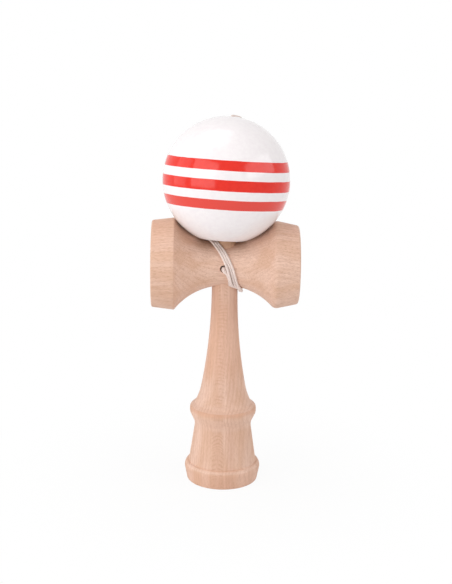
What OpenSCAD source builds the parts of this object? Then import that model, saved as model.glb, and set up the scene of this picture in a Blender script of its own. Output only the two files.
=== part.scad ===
// Cup and ball toy: a turned handle with a spike and a base cup, a crosspiece with two cups, and a
// ball that sits over the spike and hangs on a string, which is wound round the crosspiece's waist.
// Millimetres. The origin is the middle of the rim that the toy stands on. +Z runs up the handle,
// +X along the crosspiece to its small cup, and the string hole faces -Y.

/* [Handle] */
// Height of the spike's tip above the standing rim
handle_h = 155; // [150:0.5:156.5]
// Diameter of the base at its foot
foot_d = 34.4; // [32:0.2:36]
// Largest diameter of the base
base_d = 37; // [36.2:0.1:40]
// Height of the base's largest diameter
base_h = 6.8; // [6.2:0.1:9]
// Rounding of the base's shoulder
base_round = 4.3; // [3.6:0.1:5.5]
// Diameter where the cone rises out of the base
cone_d = 32.6; // [30:0.1:34]
// Diameter of the neck under the ring
neck_d = 27.6; // [25:0.1:29]
// Largest diameter of the ring
ring_d = 32.4; // [31:0.1:35]
// Height of the ring's middle
ring_h = 35.8; // [33:0.1:39]
// Rounding of the ring
ring_round = 4.1; // [3.4:0.1:5]
// Radius of the hollow under the ring
cove_r = 9; // [6:0.5:12]
// Diameter of the crease on top of the ring
crease_d = 27.5; // [26:0.1:29]
// Height where the flare over the ring meets the long taper
flare_h = 48; // [46:0.5:54]
// Radius of the long hollow taper
taper_r = 260; // [240:5:320]
// Diameter of the shaft under the crosspiece
shaft_d = 12.4; // [11.6:0.1:13]
// Diameter of the spike above the crosspiece
spike_d = 10.3; // [9:0.1:11]
// Diameter of the spike near its tip
tip_d = 4.6; // [3:0.1:6]
// Mouth of the base cup
base_cup_d = 28.6; // [24:0.2:30]
// Depth of the base cup
base_cup_depth = 6; // [4.5:0.1:8]

/* [Crosspiece] */
// Height of the crosspiece's axis
cross_h = 108.8; // [104:0.2:112]
// Length from rim to rim
cross_len = 70; // [64:0.5:76]
// Diameter of the waist
waist_d = 20.3; // [19:0.1:22]
// Outer diameter of the big cup's rim
big_rim_d = 41.4; // [40:0.2:44]
// Mouth of the big cup
big_cup_d = 37.2; // [34:0.2:38]
// Depth of the big cup
big_cup_depth = 10; // [6:0.2:12]
// Diameter of the big cup's ridge
big_ridge_d = 44; // [42:0.2:46]
// Outer diameter of the small cup's rim
small_rim_d = 37.4; // [36:0.2:40]
// Mouth of the small cup
small_cup_d = 33.2; // [30:0.2:34]
// Depth of the small cup
small_cup_depth = 9; // [6:0.2:11]
// Diameter of the small cup's ridge
small_ridge_d = 42.2; // [40:0.2:44]

/* [Ball] */
// Diameter of the ball
ball_d = 60; // [58:0.5:60.5]
// Lean of the ball to the back, in degrees
lean_back = 6.5; // [5:0.5:7]
// Lean of the ball towards the small cup, in degrees
lean_side = 3; // [2.5:0.5:4]
// Diameter of the spike hole
bore_d = 21.6; // [21.4:0.1:22.4]
// Depth of the spike hole from the ball's lowest point
bore_depth = 49; // [47:0.5:51]
// Bevel at the mouth of the spike hole
bore_bevel = 0.6; // [0.4:0.1:1.2]

/* [String] */
// Diameter of the string
string_d = 1.1; // [1:0.05:1.1]
// Radius of the string's bends where it leaves a hole
string_bend = 2.4; // [2:0.1:3]
// Hole in the crosspiece and in the handle for the string
string_hole_d = 3.2; // [2.6:0.1:3.4]
// Hole on top of the ball for the string
top_hole_d = 3; // [2.2:0.1:4]
// Diameter of the knots in the string
knot_d = 3.8; // [3.6:0.1:4]
// Diameter of the bead inside the ball
bead_d = 7.5; // [6.5:0.1:9]
// Length of the bead
bead_len = 6.6; // [5.5:0.1:6.8]
// Hole through the bead
bead_hole_d = 2; // [1.8:0.1:2.6]

/* [Fits] */
// How much larger the saddle's radius is than the ball's
saddle_relief = 0.8; // [0.5:0.1:1.5]
// Height of the ball above the waist
ball_rise = 0.3; // [0.3:0.05:0.8]
// Gap between the string and the wood that it lies on
string_lay = 0.15; // [0.1:0.05:0.15]
// Gap between the string and the back of the ball
back_gap = 0.3; // [0.2:0.05:0.6]
// Gap between the bead and the end of the spike hole
bead_gap = 0.3; // [0.2:0.05:0.5]
// Gap round a knot in its pocket
knot_gap = 0.3; // [0.2:0.05:0.5]
// How far a knot's flat face reaches past the hole that stops it
knot_hold = 0.2; // [0.1:0.05:0.3]
// How far the handle's tapered seat reaches past the waist on each side
seat_over = 2; // [1.6:0.1:3]
// Softening of turned edges
edge = 0.8; // [0.4:0.1:1.2]
// Softening of the small cup's worn ridge
ridge_soft = 2; // [1:0.1:2.5]

/* [Hidden] */
$fn = 96;

BEECH = "#dcb598";
LACQUER = "#f4f2ef";
COTTON = "#efe6da";
BEAD_WOOD = "#c99f74";

waist_r = waist_d / 2;
ball_r = ball_d / 2;
saddle_r = ball_r + saddle_relief;
string_r = string_d / 2;
ball_h = cross_h + waist_r + ball_r + ball_rise;
bore_end = bore_depth - ball_r;
seat_low = cross_h - waist_r - seat_over;
seat_top = cross_h + waist_r + seat_over;
bead_low = bore_end - bead_gap - bead_len;
pocket_floor = 1.2;
lead_in = 1.6;
hole_edge = sqrt(ball_r ^ 2 - (top_hole_d / 2) ^ 2);
end_top = hole_edge - sqrt((string_bend - string_r - string_lay) ^ 2 - (string_bend - top_hole_d / 2) ^ 2);

// Winding: degrees along the string from the front, where it starts and ends, and the shape of a turn
wind_start = 45;
wind_end = 1230;
wind_step = 15;
wind_from = -1.63;
wind_pitch = 1.83;
wind_spread = 0.11;
wind_front = 1.64;
wind_reach = 10;
wind_hook = 3;

// Routes of the string's free stretches. The lead lies on the waist: distance along the waist, degrees
// below its front, lift off the wood. The rise runs from the winding to the ball, from the waist's middle.
LEAD = [[0.5, 17, 0.2], [1.7, 23, 0.4], [3.2, 29, 0.3]];
RISE = [[6, 14, -1], [3.6, 17.6, 6], [1.8, 21.6, 14], [0.6, 25.6, 22]];
// Degrees of the bends at the holes, and degrees from the ball's top along its back
LEAD_BEND = [25, 50, 75];
TOP_BEND = [90, 60, 30];
BACK = [100:-11:12];
route_steps = 3;

function unit(v) = v / norm(v);
function angle_of(v) = (atan2(v.y, v.x) + 360) % 360;
function arc(c, r, a0, a1, n) =
    [for (i = [0:n]) let (a = a0 + (a1 - a0) * i / n) c + r * [cos(a), sin(a)]];
function bend(a, p, b, n = 4) =
    [for (i = [0:n]) let (t = i / n) (1 - t) ^ 2 * a + 2 * t * (1 - t) * p + t ^ 2 * b];
function along(p, q, d) = p + d * unit(q - p);

// Radius of the crosspiece's waist at a distance from its middle
function waist_at(x) = waist_r + saddle_r - sqrt(saddle_r ^ 2 - x ^ 2);

// Centre line of the winding, and its direction, at a number of degrees along it
function wind_x(t) =
    wind_from + wind_pitch * (1 + wind_spread * sin(2 * t) ^ 2) * t / 360
    + wind_front * ((1 + cos(t)) / 2) ^ 2 + sin(t) * (wind_reach - wind_hook * cos(t) ^ 2);
function wind_at(t) =
    let (x = wind_x(t), r = waist_at(x) + string_r + string_lay) [x, -r * cos(t), -r * sin(t)];
function wind_dir(t) = unit(wind_at(t + 0.5) - wind_at(t - 0.5));

// Points of the lead on the waist, and of the rise on the ball's back and over its top
function on_waist(p) =
    let (r = waist_at(p.x) + string_r + string_lay + p.z) [p.x, -r * cos(p.y), -r * sin(p.y)];
function on_ball(back, up) =
    [0, 0, ball_h - cross_h]
    + back * [-sin(lean_back) * sin(lean_side), cos(lean_back), -sin(lean_back) * cos(lean_side)]
    + up * [cos(lean_back) * sin(lean_side), sin(lean_back), cos(lean_back) * cos(lean_side)];

// A curve through the points, straight along its first and last stretch
function curve(p, n) = concat(
    [p[0]],
    [for (i = [1:len(p) - 3], k = [0:n - 1]) pass(p[i - 1], p[i], p[i + 1], p[i + 2], k / n)],
    [p[len(p) - 2], p[len(p) - 1]]);
function pass(a, b, c, d, t) =
    b + t / 2 * (c - a) + t ^ 2 / 2 * (2 * a - 5 * b + 4 * c - d)
    + t ^ 3 / 2 * (3 * b - a - 3 * c + d);

// Ring of a tube round a point of its path
function ring(c, dir, r, n) =
    let (u = unit(cross(dir, [1, 0, 0])), v = cross(dir, u))
    [for (k = [0:n - 1]) c + r * (cos(360 * k / n) * u + sin(360 * k / n) * v)];

module tube(path, d, n) {
    last = len(path) - 1;
    points = [for (i = [0:last])
        each ring(path[i], unit(path[min(i + 1, last)] - path[max(i - 1, 0)]), d / 2, n)];
    walls = [for (i = [0:last - 1], k = [0:n - 1])
        let (a = i * n + k, b = i * n + (k + 1) % n)
        each [[a, a + n, b], [b, a + n, b + n]]];
    caps = [for (k = [1:n - 2]) each [[0, k, k + 1], [last * n, last * n + k + 1, last * n + k]]];
    polyhedron(points, concat(walls, caps));
}

// A cup's hollow: its mouth lies at zero height and it goes up from there
module bowl(d, depth) {
    r = (d ^ 2 / 4 + depth ^ 2) / (2 * depth);
    translate([0, 0, depth - r])
        sphere(r);
}

module at_ball() {
    translate([0, 0, ball_h])
        rotate([-lean_back, lean_side, 0])
            children();
}

function handle_outline() =
    let (
        foot_r = foot_d / 2,
        base_c = [base_d / 2 - base_round, base_h],
        shoulder_a = acos((cone_d / 2 - base_c.x) / base_round),
        shoulder_h = base_h + base_round * sin(shoulder_a),
        ring_c = [ring_d / 2 - ring_round, ring_h],
        cove_x = neck_d / 2 + cove_r,
        cove_c = [cove_x, ring_h - sqrt((cove_r + ring_round) ^ 2 - (cove_x - ring_c.x) ^ 2)],
        cone_a = atan((cone_d - neck_d) / 2 / (cove_c.y - shoulder_h)),
        cove_a = angle_of(ring_c - cove_c),
        crease_a = acos((crease_d / 2 - ring_c.x) / ring_round),
        crease = ring_c + ring_round * [cos(crease_a), sin(crease_a)],
        taper_c = [shaft_d / 2 + taper_r, seat_low],
        taper_a = 180 + asin((seat_low - flare_h) / taper_r),
        flare = taper_c + taper_r * [cos(taper_a), sin(taper_a)],
        out = (taper_c - flare) / taper_r,
        flare_r = norm(flare - crease) ^ 2 / (2 * (out * (crease - flare))),
        flare_c = flare + flare_r * out,
        tip_c = [0, handle_h - tip_d / 2]
    )
    concat(
        [[0, 0]],
        bend([foot_r - edge, 0], [foot_r, 0], along([foot_r, 0], [base_d / 2, base_h], edge)),
        arc(base_c, base_round, 0, shoulder_a, 10),
        arc(cove_c, cove_r, 180 + cone_a, cove_a, 8),
        arc(ring_c, ring_round, cove_a - 180 + 4, crease_a, 16),
        arc(flare_c, flare_r, angle_of(crease - flare_c) - 1, taper_a, 8),
        arc(taper_c, taper_r, taper_a - 0.6, 180, 16),
        [[spike_d / 2, seat_top]],
        arc(tip_c, tip_d / 2, 0, 90, 8));

module handle() {
    color(BEECH)
        difference() {
            rotate_extrude()
                polygon(handle_outline());
            bowl(base_cup_d, base_cup_depth);
            translate([0, 0, cross_h])
                rotate([90, 0, 0])
                    cylinder(h = shaft_d, d = string_hole_d, center = true);
            translate([0, pocket_floor, cross_h])
                rotate([-90, 0, 0])
                    cylinder(h = shaft_d, d = knot_d + 2 * knot_gap);
        }
}

// Outline of the crosspiece, as radius and distance along its axis
function crosspiece_outline() =
    let (
        saddle_c = [waist_r + saddle_r, 0],
        big_a = asin((saddle_c.x - big_ridge_d / 2) / saddle_r),
        small_a = asin((saddle_c.x - small_ridge_d / 2) / saddle_r),
        big_rim = [big_rim_d / 2, -cross_len / 2],
        small_rim = [small_rim_d / 2, cross_len / 2],
        big_ridge = [big_ridge_d / 2, -saddle_r * cos(big_a)],
        small_ridge = [small_ridge_d / 2, saddle_r * cos(small_a)],
        soft_a = ridge_soft / saddle_r * 180 / PI,
        sweep = arc(saddle_c, saddle_r, 270 - big_a, 90 + small_a + soft_a, 32)
    )
    concat(
        [[0, -cross_len / 2]],
        bend(big_rim - [edge, 0], big_rim, along(big_rim, big_ridge, edge)),
        sweep,
        bend(sweep[len(sweep) - 1], small_ridge, along(small_ridge, small_rim, ridge_soft)),
        bend(along(small_rim, small_ridge, edge), small_rim, small_rim - [edge, 0]),
        [[0, cross_len / 2]]);

module crosspiece() {
    color(BEECH)
        difference() {
            translate([0, 0, cross_h])
                rotate([0, 90, 0])
                    rotate_extrude()
                        polygon(crosspiece_outline());
            translate([-cross_len / 2, 0, cross_h])
                rotate([0, 90, 0])
                    bowl(big_cup_d, big_cup_depth);
            translate([cross_len / 2, 0, cross_h])
                rotate([0, -90, 0])
                    bowl(small_cup_d, small_cup_depth);
            translate([0, 0, seat_low])
                cylinder(h = seat_top - seat_low, d1 = shaft_d, d2 = spike_d);
            translate([0, 0, cross_h])
                rotate([90, 0, 0])
                    cylinder(h = waist_d, d = string_hole_d);
        }
}

module ball() {
    mouth_r = bore_d / 2 + bore_bevel;
    mouth_h = -sqrt(ball_r ^ 2 - mouth_r ^ 2);
    color(LACQUER)
        at_ball()
            difference() {
                sphere(ball_r);
                translate([0, 0, -ball_r])
                    cylinder(h = bore_depth, d = bore_d);
                translate([0, 0, mouth_h - bore_bevel])
                    cylinder(h = 2 * bore_bevel, r1 = mouth_r + bore_bevel, r2 = bore_d / 2);
                cylinder(h = ball_d, d = top_hole_d);
            }
}

module bead() {
    color(BEAD_WOOD)
        at_ball()
            translate([0, 0, bead_low + bead_len / 2])
                difference() {
                    intersection() {
                        sphere(d = bead_d);
                        cylinder(h = bead_len, d = bead_d, center = true);
                    }
                    cylinder(h = bead_d, d = bead_hole_d, center = true);
                }
}

// A knot: a ball of string with a flat face at zero height, where the string leaves it
module knot(hole_d) {
    r = knot_d / 2;
    sink = sqrt(r ^ 2 - (hole_d / 2 + knot_hold) ^ 2);
    intersection() {
        translate([0, 0, -sink])
            sphere(r);
        translate([0, 0, -knot_d])
            cylinder(h = knot_d, d = knot_d);
    }
}

module bead_knot() {
    color(COTTON)
        at_ball()
            translate([0, 0, bead_low])
                knot(bead_hole_d);
}

module handle_knot() {
    color(COTTON)
        translate([0, pocket_floor, cross_h])
            rotate([90, 0, 0])
                knot(string_hole_d);
}

module string_lead() {
    bend_y = lead_in - waist_r;
    start = wind_at(wind_start) - string_d * wind_dir(wind_start);
    route = concat(
        [[0, pocket_floor, 0], [0, bend_y, 0]],
        [for (a = LEAD_BEND) [0, bend_y - string_bend * sin(a), -string_bend * (1 - cos(a))]],
        [for (p = LEAD) on_waist(p)],
        [start - string_d * wind_dir(wind_start), start]);
    color(COTTON)
        translate([0, 0, cross_h])
            tube(curve(route, route_steps), string_d, 8);
}

module string_winding() {
    path = concat(
        [wind_at(wind_start) - string_d * wind_dir(wind_start)],
        [for (t = [wind_start:wind_step:wind_end]) wind_at(t)],
        [wind_at(wind_end) + string_d * wind_dir(wind_end)]);
    fine = [for (t = [wind_start:wind_step / 6:wind_end]) wind_at(t)];
    half_turn = 180 / (wind_step / 6);
    near = [for (i = [0:len(fine) - 1], k = [i + half_turn:1:len(fine) - 1]) norm(fine[i] - fine[k])];
    echo(str("Least gap of the winding to itself, mm: ", min(near) - string_d));
    color(COTTON)
        translate([0, 0, cross_h])
            tube(path, string_d, 6);
}

module string_rise() {
    start = wind_at(wind_end) + string_d * wind_dir(wind_end);
    back_r = ball_r + string_r + back_gap;
    route = concat(
        [start, start + string_d * wind_dir(wind_end)],
        RISE,
        [for (a = BACK) on_ball(back_r * sin(a), back_r * cos(a))],
        [for (a = TOP_BEND) on_ball(string_bend * (1 - cos(a)), end_top + string_bend * sin(a))],
        [on_ball(0, end_top), on_ball(0, end_top - string_d)]);
    color(COTTON)
        translate([0, 0, cross_h])
            tube(curve(route, route_steps), string_d, 8);
}

module string_end() {
    color(COTTON)
        at_ball()
            translate([0, 0, bead_low])
                cylinder(h = end_top - string_d - bead_low, d = string_d);
}

handle();
crosspiece();
ball();
bead();
bead_knot();
handle_knot();
string_lead();
string_winding();
string_rise();
string_end();
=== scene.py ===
"""A cup and ball toy: turned beech handle and crosspiece, lacquered ball, twisted cotton string."""
import math

import bmesh
import bpy
from mathutils import Matrix, Vector


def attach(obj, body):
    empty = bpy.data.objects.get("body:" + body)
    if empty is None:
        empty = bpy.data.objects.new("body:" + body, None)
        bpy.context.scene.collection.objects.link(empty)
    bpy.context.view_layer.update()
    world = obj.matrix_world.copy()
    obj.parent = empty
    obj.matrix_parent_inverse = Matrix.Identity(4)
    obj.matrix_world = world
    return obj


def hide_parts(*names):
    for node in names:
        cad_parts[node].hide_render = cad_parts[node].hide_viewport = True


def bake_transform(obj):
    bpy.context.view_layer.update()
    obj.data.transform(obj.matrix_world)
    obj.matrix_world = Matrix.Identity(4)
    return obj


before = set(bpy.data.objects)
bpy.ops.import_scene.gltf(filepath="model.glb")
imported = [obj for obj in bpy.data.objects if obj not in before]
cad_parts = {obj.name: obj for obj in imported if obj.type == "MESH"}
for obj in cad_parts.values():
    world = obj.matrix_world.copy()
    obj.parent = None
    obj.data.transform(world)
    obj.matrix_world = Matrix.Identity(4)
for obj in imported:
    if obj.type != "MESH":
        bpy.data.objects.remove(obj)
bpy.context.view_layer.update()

MM = 0.001
TURN = 2 * math.pi

# Sizes of the toy in millimetres, as in the part's source
HANDLE_H = 155.0
FOOT_R = 17.2
NECK_R, COVE_R = 13.8, 9.0
RING_R, RING_H, RING_ROUND = 16.2, 35.8, 4.1
CREASE_R = 13.75
FLARE_H, TAPER_R = 48.0, 260.0
SHAFT_R, SPIKE_R, TIP_R = 6.2, 5.15, 2.3
BASE_CUP_R, BASE_CUP_DEPTH = 14.3, 6.0
CROSS_H, CROSS_HALF, WAIST_R = 108.8, 35.0, 10.15
SEAT_OVER = 2.0
BIG_RIM_R, BIG_CUP_R, BIG_CUP_DEPTH, BIG_RIDGE_R = 20.7, 18.6, 10.0, 22.0
SMALL_RIM_R, SMALL_CUP_R, SMALL_CUP_DEPTH, SMALL_RIDGE_R = 18.7, 16.6, 9.0, 21.1
BALL_R, SADDLE_R, BALL_RISE = 30.0, 30.8, 0.3
LEAN_BACK, LEAN_SIDE = math.radians(6.5), math.radians(3.0)
BORE_R, BORE_END, BORE_BEVEL = 10.8, 19.0, 0.6
HOLE_R, TOP_HOLE_R = 1.6, 1.5
POCKET_FLOOR, POCKET_R = 1.2, 2.2
EDGE, RIDGE_SOFT = 0.8, 2.0
BEAD_R, BEAD_LOW, BEAD_LEN, BEAD_HOLE_R = 3.75, 12.1, 6.6, 1.0
STRING_BEND = 2.4

# Finer sizes that only the scene has, in millimetres
FRONT_HOLE_R, FRONT_MOUTH_R, FRONT_SINK, FRONT_SOFT = 1.7, 1.95, 0.4, 0.2
FRONT_FLARE = [(0.15, 0.2), (0.5, 0.35)]
HOLE_X, HOLE_Z = -0.75, -0.1
TOP_HOLE_SOFT = 1.4
CUP_LIP, SMALL_EDGE, RIDGE_CRISP = 0.5, 1.2, 0.35
CREASE_BELOW, CREASE_ABOVE = 0.4, 0.5
BORE_LIP, BORE_LIP_IN, BORE_ROUND = 0.3, 0.4, 1.0
BORE_CORNER_IN, BORE_CORNER_DOWN = 0.1, 0.02
BEAD_BEVEL, BEAD_BEVEL_H = 0.25, 0.3
STRING_R = 0.61
# Where the cove meets the ring, in degrees
COVE_END = 165.5

SEAT_LOW = CROSS_H - WAIST_R - SEAT_OVER
SEAT_TOP = CROSS_H + WAIST_R + SEAT_OVER
BALL_H = CROSS_H + WAIST_R + BALL_R + BALL_RISE
BALL_MID = Vector((0, 0, BALL_H))
BALL_AXIS = Vector((math.cos(LEAN_BACK) * math.sin(LEAN_SIDE), math.sin(LEAN_BACK),
                    math.cos(LEAN_BACK) * math.cos(LEAN_SIDE)))
BALL_BACK = Vector((-math.sin(LEAN_BACK) * math.sin(LEAN_SIDE), math.cos(LEAN_BACK),
                    -math.sin(LEAN_BACK) * math.cos(LEAN_SIDE)))
BALL_SIDE = Vector((math.cos(LEAN_SIDE), 0, -math.sin(LEAN_SIDE)))
WAIST_MID = Vector((0, 0, CROSS_H))


# Camera

PHOTO_H = 584
FOCAL_PX = 1291.0
SENSOR_H = 36.0
CAMERA_NEAR_CLIP, CAMERA_FAR_CLIP = 0.01, 20.0
CAMERA_FAR, CAMERA_UP = 600.0, 252.0
CAMERA_ROUND = math.radians(1.1)
CAMERA_ROLL = math.radians(0.88)
AIM = Vector((0.64, 0, 95.04))


def make_camera():
    data = bpy.data.cameras.new("photo_camera")
    data.sensor_fit = "VERTICAL"
    data.sensor_height = SENSOR_H
    data.lens = FOCAL_PX / PHOTO_H * SENSOR_H
    data.clip_start, data.clip_end = CAMERA_NEAR_CLIP, CAMERA_FAR_CLIP
    camera = bpy.data.objects.new("photo_camera", data)
    bpy.context.scene.collection.objects.link(camera)
    place = Vector((-CAMERA_FAR * math.sin(CAMERA_ROUND), -CAMERA_FAR * math.cos(CAMERA_ROUND),
                    CAMERA_UP))
    look = (AIM - place).to_track_quat("-Z", "Y").to_matrix().to_4x4()
    camera.matrix_world = Matrix.Translation(place * MM) @ look @ Matrix.Rotation(CAMERA_ROLL, 4, "Z")
    bpy.context.scene.camera = camera


make_camera()


# String: its centre line, then its three twisted plies

PATH_STEP = 0.3
# The turns: how far apart and how far off the wood they lie, and the degrees they run through
STRING_PITCH, STRING_LIE = 1.27, 0.05
WOUND_FROM, WOUND_TO, WOUND_STEP = 50, 1232, 3
# The middle turn: degrees from the front and down, place along the waist, lift off the wood
TURN_SHAPE = [(-90, -7.0, 0.9), (-79, -6.4, 1.2), (-68, -4.75, 1.15), (-58, -2.95, 0.15),
              (-36, -0.65, 0), (-17, 0.95, 0), (0, 2.25, 0), (17, 3.1, 0), (38, 4.05, 0), (54, 4.8, 0),
              (66, 5.9, 0), (90, 8.2, 0), (125, 9.4, 0), (160, 5.2, 0), (195, -0.6, 0), (232, -6.0, 0.1),
              (250, -6.9, 0.4)]
# Under the waist the four passes bunch up beside the shaft: place along the waist and lift of each, and
# degrees where they draw together and part
BUNCH = [(6.6, 0.0), (7.6, 0.0), (7.1, 0.93), (8.0, 0.93)]
BUNCH_FROM, BUNCH_FULL, BUNCH_LEAVE, BUNCH_TO = 50, 76, 98, 140
# The lead, from the waist's middle: share of the hole's shift and depth on its way out, depth under the
# surface where it starts to bend down, degrees and sideways reach of the bend, points to the first turn
LEAD_IN = [(0.0, POCKET_FLOOR), (0.3, -2.5), (0.8, -6.0)]
LEAD_DEPTH, LEAD_BEND, LEAD_REACH = 1.75, (20, 40, 60), 1.2
LEAD_OUT = [(0.8, -10.85, -2.6), (1.35, -10.45, -4.0), (1.85, -9.5, -5.7)]
# The second pass rides over the lead: degrees where it lifts and settles, and its lift
RIDE_FROM, RIDE_FULL, RIDE_LEAVE, RIDE_TO, RIDE_LIFT = -22, 0, 36, 58, 1.05
# Where the string leaves its hole it swells: place along it, half its reach, share
EXIT_SWELL = (11.0, 2.7, 1.15)
# From the winding up to the ball's back, from the waist's middle
RISE = [(7.0, 13.6, 0.4), (7.1, 16.9, 7), (7.2, 20.3, 14), (7.3, 23.6, 21)]
# Over the ball's back: degrees from its top, place to the side
OVER_BALL = [(108, 8.0), (98, 8.1), (88, 8.2), (78, 8.2), (68, 8.2), (58, 8.1), (48, 7.9), (39, 7.6),
             (31, 7.1), (24, 6.4), (18, 5.5), (13, 4.45)]
BACK_GAP = 0.12
# Over the edge of the hole on top: the way the string comes from, between back and side, degrees of its
# bend, height in the ball where the bend ends, and a straight tail below it
TOP_TURN, TOP_BEND = math.radians(35), (88, 66, 44, 22, 0)
END_TOP, END_TAIL, END_STEPS = 27.7, 1.2, 50


def smooth_value(a, b, c, d, t):
    """A value from b to c, on a smooth curve through all four."""
    return (b + t / 2 * (c - a) + t * t / 2 * (2 * a - 5 * b + 4 * c - d)
            + t ** 3 / 2 * (3 * b - a - 3 * c + d))


def turn_shape(degrees, column):
    """A value of one turn, through the points of TURN_SHAPE, which closes on itself."""
    n = len(TURN_SHAPE)
    at = (degrees + 90) % 360 - 90
    i = max(k for k in range(n) if TURN_SHAPE[k][0] <= at)
    spots = [TURN_SHAPE[(i + k) % n] for k in (-1, 0, 1, 2)]
    span = (spots[2][0] - spots[1][0]) % 360
    values = [s[column] for s in spots]
    gap_before, gap_after = (spots[1][0] - spots[0][0]) % 360, (spots[3][0] - spots[2][0]) % 360
    slope_in = (values[2] - values[0]) / (gap_before + span)
    slope_out = (values[3] - values[1]) / (span + gap_after)
    t = (at - spots[1][0]) / span
    return ((2 * t ** 3 - 3 * t * t + 1) * values[1] + (t ** 3 - 2 * t * t + t) * span * slope_in
            + (3 * t * t - 2 * t ** 3) * values[2] + (t ** 3 - t * t) * span * slope_out)


def waist_at(x):
    """The waist's radius at a place along it."""
    return WAIST_R + SADDLE_R - math.sqrt(SADDLE_R ** 2 - x * x)


def ease(value, low, high):
    """From 0 at low to 1 at high, with a soft start and end."""
    t = min(max((value - low) / (high - low), 0.0), 1.0)
    return t * t * (3 - 2 * t)


def wound_at(degrees):
    """A point of the wound string, by the degrees that it has gone round."""
    x = turn_shape(degrees, 1) + STRING_PITCH * (degrees / 360 - 2)
    turn, angle = divmod(degrees + 180, 360)
    angle -= 180
    bunched = ease(angle, BUNCH_FROM, BUNCH_FULL) * (1 - ease(angle, BUNCH_LEAVE, BUNCH_TO))
    place, lift = BUNCH[int(turn)]
    x += bunched * (place - x)
    lift *= bunched
    if turn == 1:
        lift += RIDE_LIFT * ease(angle, RIDE_FROM, RIDE_FULL) * (1 - ease(angle, RIDE_LEAVE, RIDE_TO))
    r = waist_at(x) + STRING_R + STRING_LIE + max(turn_shape(degrees, 2), 0) + lift
    a = math.radians(degrees)
    return WAIST_MID + Vector((x, -r * math.cos(a), -r * math.sin(a)))


def on_ball(back, up, side=0.0):
    """A point by its place along the ball's own axes, from the ball's middle."""
    return BALL_MID + back * BALL_BACK + up * BALL_AXIS + side * BALL_SIDE


def smooth_path(points, step):
    """A curve through the points, cut into steps of about one length."""
    path = []
    n = len(points)
    for i in range(n - 1):
        a, b, c, d = (points[min(max(i + k, 0), n - 1)] for k in (-1, 0, 1, 2))
        cuts = max(1, round((c - b).length / step))
        path += [smooth_value(a, b, c, d, k / cuts) for k in range(cuts)]
    return path + [points[-1]]


def wound_path():
    """From the knot in the handle, out of the crosspiece, round its waist and to its back."""
    bend_y = LEAD_DEPTH - WAIST_R
    lead = [(share * HOLE_X, y, 0) for share, y in LEAD_IN] + [(HOLE_X, bend_y, HOLE_Z)]
    for degrees in LEAD_BEND:
        a = math.radians(degrees)
        lead.append((HOLE_X + LEAD_REACH * (1 - math.cos(a)), bend_y - STRING_BEND * math.sin(a),
                     HOLE_Z - STRING_BEND * (1 - math.cos(a))))
    points = [WAIST_MID + Vector(p) for p in lead + LEAD_OUT]
    points += [wound_at(t) for t in range(WOUND_FROM, WOUND_TO + 1, WOUND_STEP)]
    return smooth_path(points, PATH_STEP)


def rise_path():
    """From the winding up the ball's back and into the hole on its top."""
    back_r = BALL_R + STRING_R + BACK_GAP
    points = [wound_at(WOUND_TO)] + [WAIST_MID + Vector(p) for p in RISE]
    for degrees, side in OVER_BALL:
        a, r = math.radians(degrees), math.sqrt(back_r ** 2 - side ** 2)
        points.append(on_ball(r * math.sin(a), r * math.cos(a), side))
    for degrees in TOP_BEND:
        a = math.radians(degrees)
        out, up = STRING_BEND * (1 - math.cos(a)), END_TOP + STRING_BEND * math.sin(a)
        points.append(on_ball(out * math.cos(TOP_TURN), up, out * math.sin(TOP_TURN)))
    points.append(on_ball(0, END_TOP - END_TAIL))
    return smooth_path(points, PATH_STEP)


def end_path():
    """Straight down the ball's axis, from the tail of the bend to the knot under the bead."""
    reach = END_TOP - END_TAIL - BEAD_LOW
    return [on_ball(0, BEAD_LOW + reach * k / END_STEPS) for k in range(END_STEPS + 1)]


PLIES, PLY_SIDES = 3, 18
PLY_LAY, PLY_GROOVE = 4.2, 0.08
NO_SWELL = (0.0, 1.0, 0.0)


def twisted_string(name, path, lay_from=0.0, swell=NO_SWELL):
    """A tube of three plies, which turn once in each lay along the path."""
    mesh = bpy.data.meshes.new(name)
    bm = bmesh.new()
    lay_uv = bm.loops.layers.uv.new("lay")
    side = None
    rings, runs, run = [], [], lay_from
    for i, p in enumerate(path):
        ahead = (path[min(i + 1, len(path) - 1)] - path[max(i - 1, 0)]).normalized()
        if side is None:
            side = ahead.cross(Vector((1, 0, 0))).normalized()
        side = (side - ahead * side.dot(ahead)).normalized()
        over = ahead.cross(side)
        if i:
            run += (p - path[i - 1]).length
        runs.append(run)
        place, reach, share = swell
        thick = STRING_R * (1 + share * (1 - ease(abs(run - place), 0.0, reach)))
        ring = []
        for k in range(PLY_SIDES):
            a = TURN * k / PLY_SIDES
            lobe = abs(math.cos(PLIES / 2 * (a - TURN * run / PLY_LAY)))
            r = thick * (1 - PLY_GROOVE + PLY_GROOVE * lobe)
            ring.append(bm.verts.new((p + r * (math.cos(a) * side + math.sin(a) * over)) * MM))
        rings.append(ring)
    for i in range(len(rings) - 1):
        for k in range(PLY_SIDES):
            j = (k + 1) % PLY_SIDES
            face = bm.faces.new((rings[i][k], rings[i][j], rings[i + 1][j], rings[i + 1][k]))
            face.smooth = True
            for loop, u, v in zip(face.loops, (k, k + 1, k + 1, k), (i, i, i + 1, i + 1)):
                loop[lay_uv].uv = (u / PLY_SIDES, runs[v] / PLY_LAY)
    bm.faces.new(list(reversed(rings[0])))
    bm.faces.new(rings[-1])
    bm.normal_update()
    bm.to_mesh(mesh)
    bm.free()
    obj = bpy.data.objects.new(name, mesh)
    bpy.context.scene.collection.objects.link(obj)
    return obj


def path_length(path):
    return sum((b - a).length for a, b in zip(path, path[1:]))


wound, rise, end = wound_path(), rise_path(), end_path()
string_wound = twisted_string("string_wound", wound, swell=EXIT_SWELL)
string_rise = twisted_string("string_behind_ball", rise, path_length(wound))
string_end = twisted_string("string_in_ball", end)


# Lathe: a profile turned round an axis, as a node tree

# Points nearer than this are one point
WELD = 0.002


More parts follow.
